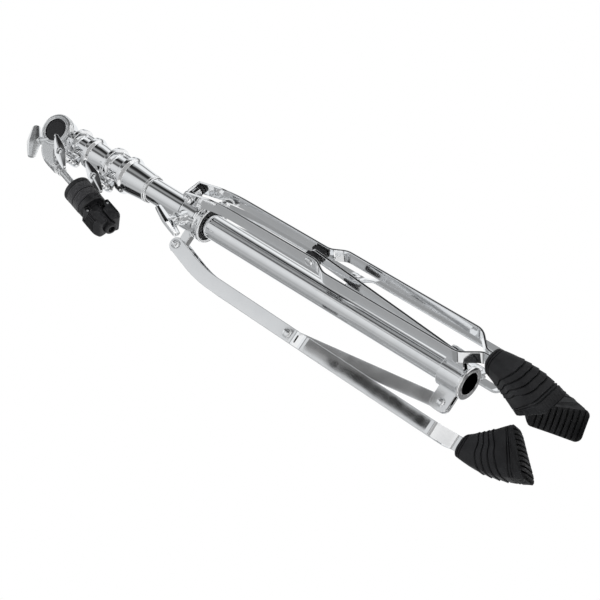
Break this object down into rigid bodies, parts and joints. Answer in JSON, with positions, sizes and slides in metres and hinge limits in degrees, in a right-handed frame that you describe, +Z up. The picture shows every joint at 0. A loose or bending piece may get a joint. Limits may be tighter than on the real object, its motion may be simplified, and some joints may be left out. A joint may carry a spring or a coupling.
{
  "type": "straight cymbal stand",
  "caption": "Folded straight cymbal stand: telescoping chrome tubes with wing-nut clamps, sliding collar, folding double-strip legs with rubber feet, tilter, felts and quick-release nut.",
  "frame": {"origin": "bottom centre of the bounding box of the folded stand, at the level of the three toes", "axes": "+Z up along the column from the feet to the tilter; -X towards leg A and the folded cymbal rod; -Y towards the side the badge faces"},
  "size_m": [0.1314, 0.1394, 0.772],
  "materials": {
    "chrome": "polished chrome plate",
    "satin_metal": "satin plated metal",
    "black_nylon": "black moulded nylon",
    "black_rubber": "black moulded rubber",
    "black_felt": "black wool felt",
    "badge_black": "gloss black, bare"
  },
  "bodies": {
    "base": {"base_tube": "chrome", "lower_brace_bracket": "chrome", "lower_adjuster_body": "chrome", "lower_adjuster_bush": "black_nylon", "lower_adjuster_bolt": "chrome"},
    "collar": {"leg_collar": "chrome", "leg_collar_insert": "black_nylon", "leg_a_hinge_bush": "black_nylon", "leg_b_hinge_bush": "black_nylon", "leg_c_hinge_bush": "black_nylon"},
    "collar_bolt": {"collar_wing_bolt": "chrome"},
    "lower_nut": {"lower_adjuster_wing_nut": "chrome"},
    "middle": {"middle_tube": "chrome", "upper_adjuster_body": "chrome", "upper_adjuster_bush": "black_nylon", "upper_adjuster_bolt": "chrome"},
    "upper_nut": {"upper_adjuster_wing_nut": "chrome"},
    "upper": {"upper_tube": "chrome", "tilter_hub": "chrome"},
    "tilter": {"tilter_arm": "chrome", "badge_disc": "badge_black", "cymbal_rod": "chrome", "rod_seat": "black_nylon", "lower_felt": "black_felt", "upper_felt": "black_felt"},
    "tilter_bolt": {"tilter_wing_bolt": "satin_metal"},
    "nut": {"nut_body": "black_nylon", "nut_pin_outer": "satin_metal", "nut_pin_inner": "satin_metal"},
    "nut_outer_wing": {"nut_wing_outer": "black_nylon"},
    "nut_inner_wing": {"nut_wing_inner": "black_nylon"},
    "leg_a": {"leg_a_left_plate": "chrome", "leg_a_right_plate": "chrome", "leg_a_top_bridge": "chrome", "leg_a_hinge_rivet": "chrome", "leg_a_pivot_rivet": "chrome", "leg_a_left_spacer": "black_nylon", "leg_a_right_spacer": "black_nylon", "leg_a_rubber_foot": "black_rubber"},
    "brace_a": {"leg_a_brace": "chrome"},
    "leg_b": {"leg_b_left_plate": "chrome", "leg_b_right_plate": "chrome", "leg_b_top_bridge": "chrome", "leg_b_hinge_rivet": "chrome", "leg_b_pivot_rivet": "chrome", "leg_b_left_spacer": "black_nylon", "leg_b_right_spacer": "black_nylon", "leg_b_rubber_foot": "black_rubber"},
    "brace_b": {"leg_b_brace": "chrome"},
    "leg_c": {"leg_c_left_plate": "chrome", "leg_c_right_plate": "chrome", "leg_c_top_bridge": "chrome", "leg_c_hinge_rivet": "chrome", "leg_c_pivot_rivet": "chrome", "leg_c_left_spacer": "black_nylon", "leg_c_right_spacer": "black_nylon", "leg_c_rubber_foot": "black_rubber"},
    "brace_c": {"leg_c_brace": "chrome"}
  },
  "joints": [
    {"name": "collar_slide", "type": "slide", "parent": "base", "child": "collar", "axis": [0, 0, -1], "range_m": [0, 0.15228]},
    {"name": "leg_a_fold", "type": "hinge", "parent": "collar", "child": "leg_a", "pos_m": [-0.02573, 0, 0.5095], "axis": [0, 1, 0], "range_deg": [0, 49.2]},
    {"name": "brace_a_swing", "type": "hinge", "parent": "leg_a", "child": "brace_a", "pos_m": [-0.04313, 0, 0.326], "axis": [0, -1, 0], "range_deg": [0, 94.8]},
    {"name": "leg_b_fold", "type": "hinge", "parent": "collar", "child": "leg_b", "pos_m": [0.03277, -0.03377, 0.5095], "axis": [-0.866, -0.5, 0], "range_deg": [0, 49.2]},
    {"name": "brace_b_swing", "type": "hinge", "parent": "leg_b", "child": "brace_b", "pos_m": [0.04147, -0.04884, 0.326], "axis": [0.866, 0.5, 0], "range_deg": [0, 94.8]},
    {"name": "leg_c_fold", "type": "hinge", "parent": "collar", "child": "leg_c", "pos_m": [0.03277, 0.03377, 0.5095], "axis": [0.866, -0.5, 0], "range_deg": [0, 49.2]},
    {"name": "brace_c_swing", "type": "hinge", "parent": "leg_c", "child": "brace_c", "pos_m": [0.04147, 0.04884, 0.326], "axis": [-0.866, 0.5, 0], "range_deg": [0, 94.8]},
    {"name": "collar_wing_turn", "type": "hinge", "parent": "collar", "child": "collar_bolt", "pos_m": [-0.00323, -0.02858, 0.517], "axis": [-0.5, -0.866, 0], "continuous": true},
    {"name": "lower_wing_nut_turn", "type": "hinge", "parent": "base", "child": "lower_nut", "pos_m": [-0.01073, 0, 0.6435], "axis": [0, -1, 0], "continuous": true},
    {"name": "middle_tube_slide", "type": "slide", "parent": "base", "child": "middle", "axis": [0, 0, 1], "range_m": [0, 0.37]},
    {"name": "upper_wing_nut_turn", "type": "hinge", "parent": "middle", "child": "upper_nut", "pos_m": [-0.00673, 0, 0.703], "axis": [0, -1, 0], "continuous": true},
    {"name": "upper_tube_slide", "type": "slide", "parent": "middle", "child": "upper", "axis": [0, 0, 1], "range_m": [0, 0.37]},
    {"name": "tilter_tilt", "type": "hinge", "parent": "upper", "child": "tilter", "pos_m": [0.01327, 0, 0.738], "axis": [0, 1, 0], "range_deg": [0, 165]},
    {"name": "tilter_wing_turn", "type": "hinge", "parent": "tilter", "child": "tilter_bolt", "pos_m": [-0.0062, -0.008, 0.74935], "axis": [-0.5461, 0, 0.8377], "continuous": true},
    {"name": "nut_pull", "type": "slide", "parent": "tilter", "child": "nut", "axis": [-0.2402, 0, -0.9707], "range_m": [0, 0.06]},
    {"name": "nut_outer_wing_flip", "type": "hinge", "parent": "nut", "child": "nut_outer_wing", "pos_m": [-0.0523, -0.01043, 0.63297], "axis": [-0.6109, 0.7771, 0.1512], "range_deg": [0, 45]},
    {"name": "nut_inner_wing_flip", "type": "hinge", "parent": "nut", "child": "nut_inner_wing", "pos_m": [-0.03208, 0.00643, 0.62797], "axis": [0.6109, -0.7771, -0.1512], "range_deg": [0, 30]}
  ],
  "couplings": [
    {"joint": "leg_a_fold", "follows": "collar_slide", "rad_per_m": 5.6162},
    {"joint": "brace_a_swing", "follows": "collar_slide", "rad_per_m": 10.832},
    {"joint": "leg_b_fold", "follows": "collar_slide", "rad_per_m": 5.6162},
    {"joint": "brace_b_swing", "follows": "collar_slide", "rad_per_m": 10.832},
    {"joint": "leg_c_fold", "follows": "collar_slide", "rad_per_m": 5.6162},
    {"joint": "brace_c_swing", "follows": "collar_slide", "rad_per_m": 10.832}
  ]
}
